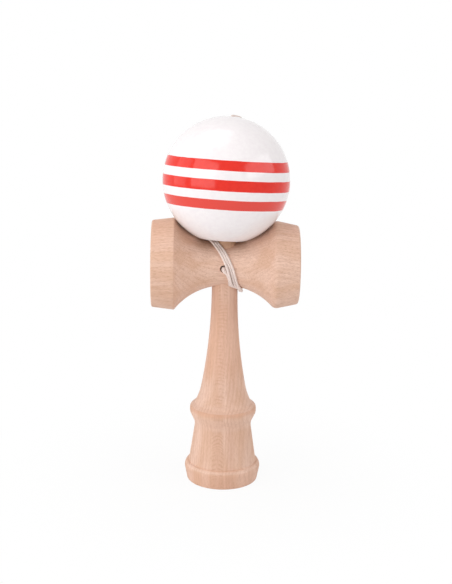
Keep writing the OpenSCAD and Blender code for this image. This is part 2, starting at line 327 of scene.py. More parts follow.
def lathe_tree():
    """Bends a grid of profile steps by turn steps round Z, along the profile points it is given."""
    tree = bpy.data.node_groups.new("lathe", "GeometryNodeTree")
    sockets = tree.interface
    sockets.new_socket("Geometry", in_out="INPUT", socket_type="NodeSocketGeometry")
    steps = sockets.new_socket("Profile steps", in_out="INPUT", socket_type="NodeSocketInt")
    around = sockets.new_socket("Turn steps", in_out="INPUT", socket_type="NodeSocketInt")
    finish = sockets.new_socket("Finish", in_out="INPUT", socket_type="NodeSocketMaterial")
    sockets.new_socket("Geometry", in_out="OUTPUT", socket_type="NodeSocketGeometry")
    nodes, links = tree.nodes, tree.links

    def add(kind, **settings):
        node = nodes.new(kind)
        for key, value in settings.items():
            setattr(node, key, value)
        return node

    def maths(operation, a, b=None):
        node = add("ShaderNodeMath", operation=operation)
        for socket, value in zip(node.inputs, (a, b)):
            if value is None:
                continue
            if isinstance(value, (int, float)):
                socket.default_value = value
            else:
                links.new(value, socket)
        return node.outputs[0]

    entry, result = add("NodeGroupInput"), add("NodeGroupOutput")
    grid = add("GeometryNodeMeshGrid")
    grid.inputs["Size X"].default_value = 1.0
    grid.inputs["Size Y"].default_value = 1.0
    links.new(entry.outputs["Profile steps"], grid.inputs["Vertices X"])
    links.new(entry.outputs["Turn steps"], grid.inputs["Vertices Y"])
    place = add("GeometryNodeInputPosition")
    split = add("ShaderNodeSeparateXYZ")
    links.new(place.outputs[0], split.inputs[0])
    step = maths("ROUND", maths("MULTIPLY", maths("ADD", split.outputs["X"], 0.5),
                                maths("SUBTRACT", entry.outputs["Profile steps"], 1)))
    point = add("GeometryNodeSampleIndex", data_type="FLOAT_VECTOR", domain="POINT")
    links.new(entry.outputs["Geometry"], point.inputs["Geometry"])
    profile_place = add("GeometryNodeInputPosition")
    links.new(profile_place.outputs[0], point.inputs["Value"])
    links.new(step, point.inputs["Index"])
    profile = add("ShaderNodeSeparateXYZ")
    links.new(point.outputs[0], profile.inputs[0])
    turn = maths("MULTIPLY", maths("ADD", split.outputs["Y"], 0.5), TURN)
    spun = add("ShaderNodeCombineXYZ")
    links.new(maths("MULTIPLY", profile.outputs["X"], maths("COSINE", turn)), spun.inputs["X"])
    links.new(maths("MULTIPLY", profile.outputs["X"], maths("SINE", turn)), spun.inputs["Y"])
    links.new(profile.outputs["Z"], spun.inputs["Z"])
    move = add("GeometryNodeSetPosition")
    links.new(grid.outputs["Mesh"], move.inputs["Geometry"])
    links.new(spun.outputs[0], move.inputs["Position"])
    weld = add("GeometryNodeMergeByDistance")
    weld.inputs["Distance"].default_value = WELD * MM
    links.new(move.outputs[0], weld.inputs["Geometry"])
    soft = add("GeometryNodeSetShadeSmooth")
    links.new(weld.outputs[0], soft.inputs["Geometry"])
    real = add("GeometryNodeRealizeInstances")
    links.new(soft.outputs[0], real.inputs[0])
    coat = add("GeometryNodeSetMaterial")
    links.new(real.outputs[0], coat.inputs["Geometry"])
    links.new(entry.outputs["Finish"], coat.inputs["Material"])
    links.new(coat.outputs[0], result.inputs[0])
    return tree, steps.identifier, around.identifier, finish.identifier


LATHE, LATHE_STEPS, LATHE_AROUND, LATHE_FINISH = lathe_tree()
TURN_STEPS, BEAD_TURN_STEPS, DRILL_TURN_STEPS = 193, 97, 65


def finished_mesh(piece):
    """The plain mesh that the piece's modifiers make."""
    return bpy.data.meshes.new_from_object(piece.evaluated_get(bpy.context.evaluated_depsgraph_get()))


def turned(name, profile, finish, turn_steps=TURN_STEPS):
    """A mesh object: the profile's radius and height, in millimetres, turned round Z."""
    mesh = bpy.data.meshes.new(name + "_profile")
    mesh.from_pydata([(r * MM, 0, h * MM) for r, h in profile], [], [])
    source = bpy.data.objects.new(name + "_profile", mesh)
    bpy.context.scene.collection.objects.link(source)
    spin = source.modifiers.new("lathe", "NODES")
    spin.node_group = LATHE
    spin[LATHE_STEPS] = len(profile)
    spin[LATHE_AROUND] = turn_steps
    spin[LATHE_FINISH] = finish
    result = finished_mesh(source)
    result.name = name
    source.modifiers.remove(spin)
    bpy.data.objects.remove(source)
    piece = bpy.data.objects.new(name, result)
    bpy.context.scene.collection.objects.link(piece)
    bm = bmesh.new()
    bm.from_mesh(result)
    bmesh.ops.recalc_face_normals(bm, faces=bm.faces)
    bm.to_mesh(result)
    bm.free()
    return piece


# Profiles, from the middle of one end to the middle of the other

def arc(mid, r, a0, a1, n):
    """Points of an arc, angles in degrees."""
    spots = (math.radians(a0 + (a1 - a0) * k / n) for k in range(n + 1))
    return [(mid[0] + r * math.cos(a), mid[1] + r * math.sin(a)) for a in spots]


def bend(a, p, b, n=8):
    """Points of a soft corner from a to b, drawn towards p."""
    return [tuple((1 - t) ** 2 * u + 2 * t * (1 - t) * v + t * t * w for u, v, w in zip(a, p, b))
            for t in (k / n for k in range(n + 1))]


def along(p, q, d):
    """The point at distance d from p, on the way to q."""
    length = math.dist(p, q)
    return tuple(u + d * (v - u) / length for u, v in zip(p, q))


def stretch(p, q, n):
    """Points of a straight line, without its first."""
    return [tuple(u + (v - u) * k / n for u, v in zip(p, q)) for k in range(1, n + 1)]


def bowl(r, depth, lip, n=28):
    """A cup's hollow, from its middle up to its lip, whose edge is rounded."""
    ball = (r * r + depth * depth) / (2 * depth)
    half = math.degrees(math.asin(r / ball))
    wall = [(x, y - (ball - depth)) for x, y in arc((0, 0), ball, 90, 90 - half, n)]
    wall[0] = (0.0, depth)
    near = along(wall[-1], wall[-2], lip)
    wall = wall[:-1] if math.dist(wall[-2], wall[-1]) > lip else wall[:-2]
    return wall + bend(near, (r, 0), (r + lip, 0), 6)


# The handle's base and ring: radius and height of their soft edges and of the quirk over the base
BASE_SIDE = [(18.5, 6.6), (18.47, 7.2), (18.38, 7.75)]
BASE_TOP = [(17.75, 8.95), (17.15, 9.42), (16.65, 9.5), (16.62, 9.75), (16.5, 10.4)]
BASE_EDGE, CONE_LOW = (18.22, 8.35), (16.2, 11.3)
RING_LOW, RING_FACE = (16.08, 34.75), [(16.18, 35.4), (16.2, 36.1), (16.18, 36.8), (16.1, 37.35)]
RING_EDGE, RING_TOP = (15.98, 37.92), (15.45, 38.28)


def handle_profile():
    cove_x = NECK_R + COVE_R
    ring_x = RING_R - RING_ROUND
    cove = (cove_x, RING_H - math.sqrt((COVE_R + RING_ROUND) ** 2 - (cove_x - ring_x) ** 2))
    cone = math.degrees(math.atan((CONE_LOW[0] - NECK_R) / (cove[1] - CONE_LOW[1])))
    crease_a = math.degrees(math.acos((CREASE_R - ring_x) / RING_ROUND))
    crease = arc((ring_x, RING_H), RING_ROUND, crease_a, crease_a, 1)[0]
    taper = (SHAFT_R + TAPER_R, SEAT_LOW)
    taper_a = 180 + math.degrees(math.asin((SEAT_LOW - FLARE_H) / TAPER_R))
    flare = arc(taper, TAPER_R, taper_a, taper_a, 1)[0]
    out = [(t - f) / TAPER_R for t, f in zip(taper, flare)]
    lean = sum(o * (c - f) for o, c, f in zip(out, crease, flare))
    flare_r = math.dist(flare, crease) ** 2 / (2 * lean)
    flare_mid = [f + flare_r * o for f, o in zip(flare, out)]
    crease_b = math.degrees(math.atan2(crease[1] - flare_mid[1], crease[0] - flare_mid[0])) % 360
    foot_side = along((FOOT_R, 0), BASE_SIDE[0], EDGE)
    cove_arc = arc(cove, COVE_R, 180 + cone, COVE_END, 14)
    flare_arc = arc(flare_mid, flare_r, crease_b, taper_a, 14)
    profile = bowl(BASE_CUP_R, BASE_CUP_DEPTH, CUP_LIP)
    profile += bend((FOOT_R - EDGE, 0), (FOOT_R, 0), foot_side, 6)
    profile += stretch(foot_side, BASE_SIDE[0], 5) + BASE_SIDE[1:]
    profile += bend(BASE_SIDE[-1], BASE_EDGE, BASE_TOP[0], 5)[1:] + BASE_TOP[1:] + [CONE_LOW]
    profile += stretch(CONE_LOW, cove_arc[0], 10) + cove_arc[1:]
    profile += stretch(cove_arc[-1], RING_LOW, 8) + RING_FACE
    profile += bend(RING_FACE[-1], RING_EDGE, RING_TOP, 5)[1:]
    profile += stretch(RING_TOP, along(crease, RING_TOP, CREASE_BELOW), 3)
    profile += bend(profile[-1], crease, along(crease, flare_arc[1], CREASE_ABOVE), 4)[1:]
    profile += flare_arc[2:] + arc(taper, TAPER_R, taper_a, 180, 30)[1:]
    profile += stretch((SHAFT_R, SEAT_LOW), (SPIKE_R, SEAT_TOP), 14)
    profile += stretch((SPIKE_R, SEAT_TOP), (TIP_R, HANDLE_H - TIP_R), 12)
    profile += arc((0, HANDLE_H - TIP_R), TIP_R, 8, 82, 9)
    return profile + [(0.0, HANDLE_H)]


def crosspiece_profile():
    middle = (WAIST_R + SADDLE_R, 0)
    big_a = math.degrees(math.asin((middle[0] - BIG_RIDGE_R) / SADDLE_R))
    small_a = math.degrees(math.asin((middle[0] - SMALL_RIDGE_R) / SADDLE_R))
    big_rim, small_rim = (BIG_RIM_R, -CROSS_HALF), (SMALL_RIM_R, CROSS_HALF)
    big_ridge = (BIG_RIDGE_R, -SADDLE_R * math.cos(math.radians(big_a)))
    small_ridge = (SMALL_RIDGE_R, SADDLE_R * math.cos(math.radians(small_a)))
    crisp_a, soft_a = (math.degrees(edge / SADDLE_R) for edge in (RIDGE_CRISP, RIDGE_SOFT))
    sweep = arc(middle, SADDLE_R, 270 - big_a - crisp_a, 90 + small_a + soft_a, 90)
    big_bowl = [(r, h - CROSS_HALF) for r, h in bowl(BIG_CUP_R, BIG_CUP_DEPTH, CUP_LIP)]
    small_bowl = [(r, CROSS_HALF - h) for r, h in reversed(bowl(SMALL_CUP_R, SMALL_CUP_DEPTH, CUP_LIP))]
    big_land = along(big_rim, big_ridge, EDGE)
    small_land = along(small_ridge, small_rim, RIDGE_SOFT)
    profile = big_bowl + bend((BIG_RIM_R - EDGE, -CROSS_HALF), big_rim, big_land)
    profile += stretch(big_land, along(big_ridge, big_rim, RIDGE_CRISP), 12)
    profile += bend(profile[-1], big_ridge, sweep[0], 4)[1:] + sweep[1:]
    profile += bend(sweep[-1], small_ridge, small_land, 10)[1:]
    profile += stretch(small_land, along(small_rim, small_ridge, SMALL_EDGE), 10)
    profile += bend(profile[-1], small_rim, (SMALL_RIM_R - SMALL_EDGE, CROSS_HALF))[1:]
    return profile + small_bowl


def ball_profile():
    """A loop: down the outside, up the spike hole and out through the hole on top."""
    mouth = BORE_R + BORE_BEVEL
    top = math.degrees(math.acos((TOP_HOLE_R + TOP_HOLE_SOFT) / BALL_R))
    low = -math.degrees(math.acos((mouth + BORE_LIP) / BALL_R))
    outside = arc((0, 0), BALL_R, top, low, 120)
    mouth_h = -math.sqrt(BALL_R ** 2 - mouth ** 2)
    wall_low, wall_top = (BORE_R, mouth_h + BORE_BEVEL + BORE_LIP_IN), (BORE_R, BORE_END - BORE_ROUND)
    floor_edge = (BORE_R - BORE_ROUND, BORE_END)
    corner = (mouth - BORE_CORNER_IN, mouth_h - BORE_CORNER_DOWN)
    loop = outside + bend(outside[-1], corner, wall_low, 8)[1:]
    loop += stretch(wall_low, wall_top, 24) + bend(wall_top, (BORE_R, BORE_END), floor_edge, 5)[1:]
    loop += stretch(floor_edge, (TOP_HOLE_R, BORE_END), 6)
    hole_top = (TOP_HOLE_R, math.sqrt(BALL_R ** 2 - TOP_HOLE_R ** 2) - TOP_HOLE_SOFT)
    loop += stretch((TOP_HOLE_R, BORE_END), hole_top, 10)
    loop += bend(hole_top, (TOP_HOLE_R, hole_top[1] + TOP_HOLE_SOFT), outside[0], 8)[1:]
    return loop


def bead_profile():
    half = BEAD_LEN / 2
    reach = math.degrees(math.asin(half / BEAD_R))
    outside = arc((0, 0), BEAD_R, -reach, reach, 24)
    mouth, wall = BEAD_HOLE_R + BEAD_BEVEL, half - BEAD_BEVEL_H
    inner = stretch((mouth, half), (BEAD_HOLE_R, wall), 2)
    inner += stretch((BEAD_HOLE_R, wall), (BEAD_HOLE_R, -wall), 8)
    inner += stretch((BEAD_HOLE_R, -wall), (mouth, -half), 2)
    return outside + [(mouth, half)] + inner + [outside[0]]


# Finishes

class Finish:
    """A material with one Principled shader, and short calls that add and link its nodes."""

    def __init__(self, name, **sockets):
        self.material = bpy.data.materials.new(name)
        self.material.use_nodes = True
        self.nodes, self.links = self.material.node_tree.nodes, self.material.node_tree.links
        self.shader = self.nodes["Principled BSDF"]
        for key, value in sockets.items():
            self.shader.inputs[key.replace("_", " ")].default_value = value

    def add(self, kind, inputs=(), **settings):
        node = self.nodes.new(kind)
        for key, value in settings.items():
            setattr(node, key, value)
        for key, value in dict(inputs).items():
            self.put(node.inputs[key], value)
        return node

    def put(self, socket, value):
        if isinstance(value, bpy.types.NodeSocket):
            self.links.new(value, socket)
        else:
            socket.default_value = value

    def maths(self, operation, *values):
        return self.add("ShaderNodeMath", dict(enumerate(values)), operation=operation).outputs[0]

    def place(self, scale=(1, 1, 1), shift=(0, 0, 0)):
        """Object coordinates in millimetres, scaled and shifted."""
        spot = self.add("ShaderNodeTexCoord").outputs["Object"]
        inputs = {"Vector": spot, "Scale": [s / MM for s in scale], "Location": shift}
        return self.add("ShaderNodeMapping", inputs).outputs[0]

    def noise(self, where, detail=2.0, rough=0.5):
        inputs = {"Vector": where, "Scale": 1.0, "Detail": detail, "Roughness": rough}
        return self.add("ShaderNodeTexNoise", inputs, noise_dimensions="3D").outputs["Fac"]

    def range(self, value, low, high, to_low=0.0, to_high=1.0):
        """From to_low to to_high while the value goes from low to high, with a soft start and end."""
        inputs = {"Value": value, "From Min": low, "From Max": high, "To Min": to_low, "To Max": to_high}
        return self.add("ShaderNodeMapRange", inputs, interpolation_type="SMOOTHSTEP").outputs[0]

    def band(self, value, rise, fall):
        """Rises from 0 to 1 over one stretch of the value and falls back over another."""
        return self.maths("MULTIPLY", self.range(value, *rise), self.range(value, *fall, 1.0, 0.0))

    def mix(self, share, a, b):
        node = self.add("ShaderNodeMix", data_type="RGBA", clamp_factor=True)
        for socket, value in zip((node.inputs["Factor"], node.inputs[6], node.inputs[7]), (share, a, b)):
            self.put(socket, value)
        return node.outputs[2]

    def stain(self, tone, colour, mask, share):
        """The tone with a share of the colour in it, where the mask is 1."""
        return self.mix(self.maths("MULTIPLY", mask, share), tone, colour)

    def bump(self, height, strength, distance):
        inputs = {"Height": height, "Strength": strength, "Distance": distance * MM}
        self.links.new(self.add("ShaderNodeBump", inputs).outputs[0], self.shader.inputs["Normal"])

    def colour(self, value):
        self.put(self.shader.inputs["Base Color"], value)

    def rough(self, value):
        self.put(self.shader.inputs["Roughness"], value)


def shade(red, green, blue):
    """A colour written as on screen, 0 to 255, as light."""
    def light(c):
        c /= 255
        return c / 12.92 if c <= 0.04045 else ((c + 0.055) / 1.055) ** 2.4
    return (light(red), light(green), light(blue), 1.0)


# Plain wood, its late rings, its pale parts and its flecks
BEECH_TONES = (shade(224, 184, 159), shade(207, 163, 138), shade(236, 201, 182), shade(178, 129, 101))
# Rubbed wood where the handle is gripped; the same colour is also painted shade on the base's side and the
# ring's face
RUB_AND_SHADE_BEECH = shade(217, 162, 131)
# Painted shade at the spike's foot, under the ball
SPIKE_FOOT_SHADE = shade(196, 150, 104)
RING_SWAY, RING_FADE = 4.0, 0.25
STREAK_SHARE, FIBRE_SHARE, PORE_SHARE = 0.3, 0.28, 0.7
BEECH_BUMP = (0.2, 0.06)

# The ladder figure on the handle's front: heights between which it moves to the middle and narrows, from
# what to what, shares of its breadth and depths where it fades, a rung's height, waver and arch
LADDER_SHIFT, LADDER_BREADTH = (30.0, 97.0, 2.5, 0.8), (28.0, 62.0, 2.9, 2.4)
LADDER_FADE, LADDER_FRONT = (0.75, 1.15), (-3.0, 0.0)
RUNG_STEP, RUNG_WAVER, RUNG_ARCH, FLAME_ARCH = 1.75, 5.0, 0.7, 2.2
LADDER_SHADE, LADDER_RINGS = 0.3, 0.3
# Heights where marks on the handle start and end: the flame on its cone, painted shade on the base's side
# and the ring's face, rubbed wood where it is gripped, and painted highlights on edges
FLAME = ((16.0, 23.0), (26.0, 29.0))
BASE_SHADE_HEIGHTS, RING_SHADE_HEIGHTS, EDGE_SHADE_SHARE = (7.6, 8.2, 0.5, 0.0), ((35.6, 37.2), (37.9, 38.3)), 0.5
GRIP, GRIP_SHARE = ((48.0, 60.0), (86.0, 98.0)), 0.35
# Painted highlights: pale bands on the base's top edge, under the ring and just over it
EDGE_HIGHLIGHTS = [((38.0, 38.4), (39.5, 43.0)), ((27.5, 30.0), (34.0, 36.0)), ((8.0, 8.5), (9.1, 9.4))]
EDGE_HIGHLIGHT_SHARE = 0.6
# A dark streak beside the ladder: its place across and front to back, and its share by height
SIDE_STREAK, SIDE_STREAK_FRONT = ((0.6, 2.2), (4.2, 7.0)), (-6.0, -2.0)
SIDE_STREAK_SHARE = (55.0, 70.0, 0.4, 0.15)
# Heights and shares of the painted shade at the spike's foot
SPIKE_SHADE_HEIGHTS = (116.0, 119.0, 0.0, 0.55)


def handle_figure(f, spot, tone, ring, ladder):
    """The ladder of flat-sawn wood on the handle's front, its rubbed grip, painted edge highlights and
    painted shade.
    """
    x, y, z = spot
    deep, pale, fleck = BEECH_TONES[1:]
    column = f.maths("ADD", x, f.range(z, *LADDER_SHIFT))
    breadth = f.maths("DIVIDE", f.maths("ABSOLUTE", column), f.range(z, *LADDER_BREADTH))
    front = f.range(y, *LADDER_FRONT, 1.0, 0.0)
    face = f.maths("MULTIPLY", f.range(breadth, *LADDER_FADE, 1.0, 0.0), front)
    flame = f.band(z, *FLAME)
    arch = f.range(flame, 0.0, 1.0, RUNG_ARCH, FLAME_ARCH)
    arch = f.maths("MULTIPLY", f.maths("MULTIPLY", breadth, breadth), arch)
    waver = f.noise(f.place((0.1, 0.1, 0.2), (5.5, 1.1, 3.3)), 3.0, 0.6)
    climb = f.maths("ADD", f.maths("ADD", z, arch), f.maths("MULTIPLY", waver, RUNG_WAVER))
    rung = f.band(f.maths("FRACT", f.maths("DIVIDE", climb, RUNG_STEP)), (0.3, 0.8), (0.8, 1.0))
    patchy = f.noise(f.place((0.4, 0.4, 0.11), (8.5, 6.1, 2.3)))
    clear = f.maths("MAXIMUM", f.range(patchy, 0.36, 0.6, 0.0, ladder), f.maths("MULTIPLY", flame, ladder))
    tone = f.stain(tone, deep, face, LADDER_SHADE)
    tone = f.stain(tone, fleck, f.maths("MULTIPLY", rung, face), clear)
    streak = f.maths("MULTIPLY", f.band(x, *SIDE_STREAK), f.range(y, *SIDE_STREAK_FRONT, 1.0, 0.0))
    tone = f.stain(tone, deep, streak, f.range(z, *SIDE_STREAK_SHARE))
    # Painted shade: the base's side and the ring's face darker and more orange
    edge_shade = f.maths("MAXIMUM", f.range(z, *BASE_SHADE_HEIGHTS), f.band(z, *RING_SHADE_HEIGHTS))
    tone = f.stain(tone, RUB_AND_SHADE_BEECH, edge_shade, EDGE_SHADE_SHARE)
    tone = f.stain(tone, RUB_AND_SHADE_BEECH, f.band(z, *GRIP), GRIP_SHARE)
    # Painted highlights along the handle's edges
    edge_highlight = 0.0
    for edge in EDGE_HIGHLIGHTS:
        edge_highlight = f.maths("MAXIMUM", edge_highlight, f.band(z, *edge))
    tone = f.stain(tone, pale, edge_highlight, EDGE_HIGHLIGHT_SHARE)
    # Painted shade at the spike's foot, where the ball shades it
    tone = f.mix(f.range(z, *SPIKE_SHADE_HEIGHTS), tone, SPIKE_FOOT_SHADE)
    return tone, f.maths("MULTIPLY", ring, f.range(face, 0.0, 1.0, 1.0, LADDER_RINGS))


def beech(name, grain, heart, ring_width, ring_share, ray_share, ladder=0.0):
    """Bare beech: grain is the axis that the fibres follow, heart the middle of the growth rings."""
    long_z = grain == "Z"

    def stretched(across, length):
        return (across, across, length) if long_z else (length, across, across)

    f = Finish(name, Specular_IOR_Level=0.45)
    plain, deep, pale, fleck = BEECH_TONES
    spot = f.add("ShaderNodeSeparateXYZ", {"Vector": f.place()}).outputs
    across = (spot["X"], spot["Y"]) if long_z else (spot["Y"], spot["Z"])
    offsets = [f.maths("SUBTRACT", side, middle) for side, middle in zip(across, heart)]
    away = f.maths("SQRT", f.maths("ADD", *(f.maths("MULTIPLY", o, o) for o in offsets)))
    sway = f.noise(f.place(stretched(0.07, 0.018)), 3.0)
    away = f.maths("ADD", away, f.maths("MULTIPLY", sway, RING_SWAY))
    ring = f.band(f.maths("FRACT", f.maths("DIVIDE", away, ring_width)), (0.35, 0.92), (0.92, 1.0))
    broad = f.noise(f.place(stretched(0.13, 0.012), (3.1, 7.7, 1.9)))
    fade = f.noise(f.place(stretched(0.2, 0.014), (7.2, 0.4, 5.9)))
    fibre = f.noise(f.place(stretched(3.4, 0.1), (11, 5, 2)), 3.0, 0.6)
    streak = f.noise(f.place(stretched(0.9, 0.022), (1.7, 4.3, 9.1)), 2.0, 0.55)
    ray = f.range(f.noise(f.place(stretched(3.2, 0.3), (6.4, 2.2, 8.8)), 0.5, 0.4), 0.57, 0.66)
    pore = f.range(f.noise(f.place(stretched(5.0, 0.36), (2.6, 9.3, 4.4)), 0.5, 0.4), 0.56, 0.66)
    ring = f.maths("MULTIPLY", ring, f.range(fade, 0.34, 0.62, RING_FADE * ring_share, ring_share))
    tone = f.mix(f.range(broad, 0.38, 0.62), plain, pale)
    if ladder:
        tone, ring = handle_figure(f, spot, tone, ring, ladder)
    tone = f.stain(tone, deep, f.range(streak, 0.36, 0.7), STREAK_SHARE)
    tone = f.mix(ring, tone, deep)
    tone = f.stain(tone, deep, f.range(fibre, 0.4, 0.75), FIBRE_SHARE)
    tone = f.stain(tone, fleck, pore, PORE_SHARE * ray_share)
    tone = f.stain(tone, fleck, ray, ray_share)
    f.colour(tone)
    f.rough(f.range(fibre, 0.3, 0.75, 0.5, 0.66))
    dents = f.maths("ADD", ray, f.maths("MULTIPLY", pore, PORE_SHARE))
    f.bump(f.maths("SUBTRACT", f.maths("MULTIPLY", fibre, 0.6), dents), *BEECH_BUMP)
    return f.material


# Top and low edge of each stripe along the ball's axis, how far the edges wander and blur, and the depths
# between which the lacquer gives way to bare wood
STRIPES = [(10.41, 5.83), (1.68, -3.34), (-7.34, -11.91)]
STRIPE_WOBBLE, STRIPE_BLUR = 0.07, 0.06
BARE_DEPTH, LACQUER_DEPTH = 0.45, 0.15
LACQUER_WHITE = (shade(246, 241, 242), shade(243, 237, 239))
STRIPE_RED = (shade(232, 40, 20), shade(227, 35, 17))
# The lowest stripe is a little paler, a painted reflection: heights where that starts
SHEEN_RED, SHEEN_RED_FROM = shade(228, 72, 61), (-6.5, -5.0)
BARE_WOOD = (shade(222, 187, 158), shade(196, 152, 120))
BARE_ROUGH, LACQUER_ROUGH, SPECK_ROUGH = 0.6, 0.1, 0.04
STRIPE_STEP, LACQUER_BUMP = 0.12, (0.12, 0.35)


def striped_lacquer():
    """White gloss lacquer with three red bands round the ball's own axis, and bare wood in its holes."""
    f = Finish("striped_lacquer", IOR=1.45, Specular_IOR_Level=0.45)
    out = f.add("ShaderNodeVectorMath", {0: f.place(), 1: BALL_MID}, operation="SUBTRACT").outputs[0]
    height = f.add("ShaderNodeVectorMath", {0: out, 1: BALL_AXIS}, operation="DOT_PRODUCT").outputs["Value"]
    reach = f.add("ShaderNodeVectorMath", {0: out}, operation="LENGTH").outputs["Value"]
    wobble = f.noise(f.place((0.12, 0.12, 0.12)))
    line = f.maths("ADD", height, f.range(wobble, 0.2, 0.8, -STRIPE_WOBBLE, STRIPE_WOBBLE))
    red = 0.0
    for top, low in STRIPES:
        middle, half = (top + low) / 2, (top - low) / 2
        off = f.maths("ABSOLUTE", f.maths("SUBTRACT", line, middle))
        stripe = f.range(off, half - STRIPE_BLUR, half + STRIPE_BLUR, 1.0, 0.0)
        red = f.maths("MAXIMUM", red, stripe)
    skin = f.range(reach, BALL_R - BARE_DEPTH, BALL_R - LACQUER_DEPTH)
    speck = f.range(f.noise(f.place((0.5, 0.5, 0.5), (4, 1, 7)), 3.0), 0.35, 0.7)
    # The lowest stripe is mixed towards a paler red: painted reflection
    paint = f.mix(f.range(height, *SHEEN_RED_FROM, 1.0, 0.0), f.mix(speck, *STRIPE_RED), SHEEN_RED)
    grain = f.range(f.noise(f.place((0.9, 0.9, 0.12), (2, 3, 5)), 3.0), 0.3, 0.75)
    f.colour(f.mix(skin, f.mix(grain, *BARE_WOOD), f.mix(red, f.mix(speck, *LACQUER_WHITE), paint)))
    f.rough(f.maths("ADD", f.range(skin, 0.0, 1.0, BARE_ROUGH, LACQUER_ROUGH),
                    f.maths("MULTIPLY", speck, SPECK_ROUGH)))
    ripple = f.noise(f.place((0.16, 0.16, 0.16), (9, 2, 6)), 3.0, 0.45)
    f.bump(f.maths("ADD", ripple, f.maths("MULTIPLY", red, STRIPE_STEP)), *LACQUER_BUMP)
    return f.material


# Painted shade between the plies, and the tones on them, in their fibres and where the string is soiled
COTTON_TONES = (shade(220, 200, 192), shade(242, 226, 219), shade(212, 194, 187), shade(204, 187, 184))
COTTON_FIBRES, COTTON_SOIL = 0.3, 0.4
FIBRES_ROUND, FIBRES_ALONG = 60.0, 3.0
COTTON_BUMP = (0.4, 0.08)


def cotton():
    """Twisted off-white cotton: painted shade between its plies, with fine fibres along them."""
    f = Finish("twisted_cotton", Roughness=0.9, Specular_IOR_Level=0.15, Sheen_Weight=0.25,
               Sheen_Roughness=0.5)
    between, ply, thread, soil = COTTON_TONES
    lay = f.add("ShaderNodeUVMap", uv_map="lay").outputs[0]
    split = f.add("ShaderNodeSeparateXYZ", {"Vector": lay})
    turn = f.maths("SUBTRACT", split.outputs["X"], split.outputs["Y"])
    lobe = f.maths("ABSOLUTE", f.maths("COSINE", f.maths("MULTIPLY", turn, PLIES / 2 * TURN)))
    along_lay = f.add("ShaderNodeCombineXYZ", {"X": f.maths("MULTIPLY", turn, FIBRES_ROUND),
                                               "Y": f.maths("MULTIPLY", split.outputs["Y"], FIBRES_ALONG)})
    fibre = f.noise(along_lay.outputs[0])
    soiled = f.noise(f.place((0.15, 0.15, 0.15)))
    # Painted shade in the grooves between the plies
    tone = f.mix(f.range(lobe, 0.0, 0.5), between, ply)
    tone = f.stain(tone, thread, f.range(fibre, 0.4, 0.7), COTTON_FIBRES)
    f.colour(f.stain(tone, soil, f.range(soiled, 0.45, 0.75), COTTON_SOIL))
    f.bump(fibre, *COTTON_BUMP)
    return f.material


HANDLE_BEECH = beech("handle_beech", grain="Z", heart=(-85.0, 18.0), ring_width=1.5, ring_share=0.5,
                     ray_share=0.15, ladder=0.34)
CROSSPIECE_BEECH = beech("crosspiece_beech", grain="X", heart=(70.0, CROSS_H + 80.0), ring_width=1.5,
                         ring_share=0.42, ray_share=0.3)
BEAD_BEECH = beech("bead_beech", grain="Z", heart=(20.0, 30.0), ring_width=2.0, ring_share=0.4,
                   ray_share=0.3)
LACQUER = striped_lacquer()
COTTON = cotton()
for piece in (string_wound, string_rise, string_end):
    piece.data.materials.append(COTTON)


# Wooden pieces

def settle(piece, matrix):
    """Puts a turned piece in its place, in its mesh."""
    piece.data.transform(matrix)
    piece.data.update()


def at(place):
    return Matrix.Translation(Vector(place) * MM)


def tip(axis, degrees):
    return Matrix.Rotation(math.radians(degrees), 4, axis)


IN_BALL = at(BALL_MID) @ Matrix.Rotation(LEAN_SIDE, 4, "Y") @ Matrix.Rotation(-LEAN_BACK, 4, "X")
WOOD_SHARP, BALL_SHARP = 40, 50


def cut_out(piece, *cutters):
    """Takes the cutters' shapes out of the piece, and removes the cutters."""
    for cutter in cutters:
        cut = piece.modifiers.new("cut", "BOOLEAN")
        cut.operation, cut.solver, cut.object = "DIFFERENCE", "EXACT", cutter
    mesh = finished_mesh(piece)
    piece.modifiers.clear()
    bm = bmesh.new()
    bm.from_mesh(mesh)
    bmesh.ops.remove_doubles(bm, verts=bm.verts, dist=WELD * MM)
    bm.to_mesh(mesh)
    bm.free()
    old, piece.data = piece.data, mesh
    mesh.name = piece.name
    bpy.data.meshes.remove(old)
    for cutter in cutters:
        bpy.data.objects.remove(cutter)


def smooth_to(piece, degrees):
    """Smooth faces, apart from edges sharper than this."""
    for polygon in piece.data.polygons:
        polygon.use_smooth = True
    piece.data.set_sharp_from_angle(angle=math.radians(degrees))


# How far the cutters reach past what they cut
DRILL_REACH, DRILL_TOP, SEAT_REACH = 9.0, 4.0, 3.0


def rod(r, low, top):
    return [(0, low), (r, low), (r, top), (0, top)]


def string_hole_cutter(finish):
    """A drill along Z from zero down: a straight hole with a soft, slightly wider mouth."""
    sunk, mouth, deep = (FRONT_HOLE_R, -FRONT_SINK), (FRONT_MOUTH_R, 0), 1 - WAIST_R
    flare, outer = ((FRONT_MOUTH_R + out, up) for out, up in FRONT_FLARE)
    profile = [(0.0, deep), (FRONT_HOLE_R, deep), (FRONT_HOLE_R, -WAIST_R / 2)]
    profile += bend((FRONT_HOLE_R, -FRONT_SINK - FRONT_SOFT), sunk, along(sunk, mouth, FRONT_SOFT), 4)
    profile += stretch(profile[-1], mouth, 6) + bend(mouth, flare, outer, 4)[1:]
    profile += [(outer[0], DRILL_TOP), (0.0, DRILL_TOP)]
    return turned("drill", profile, finish, DRILL_TURN_STEPS)


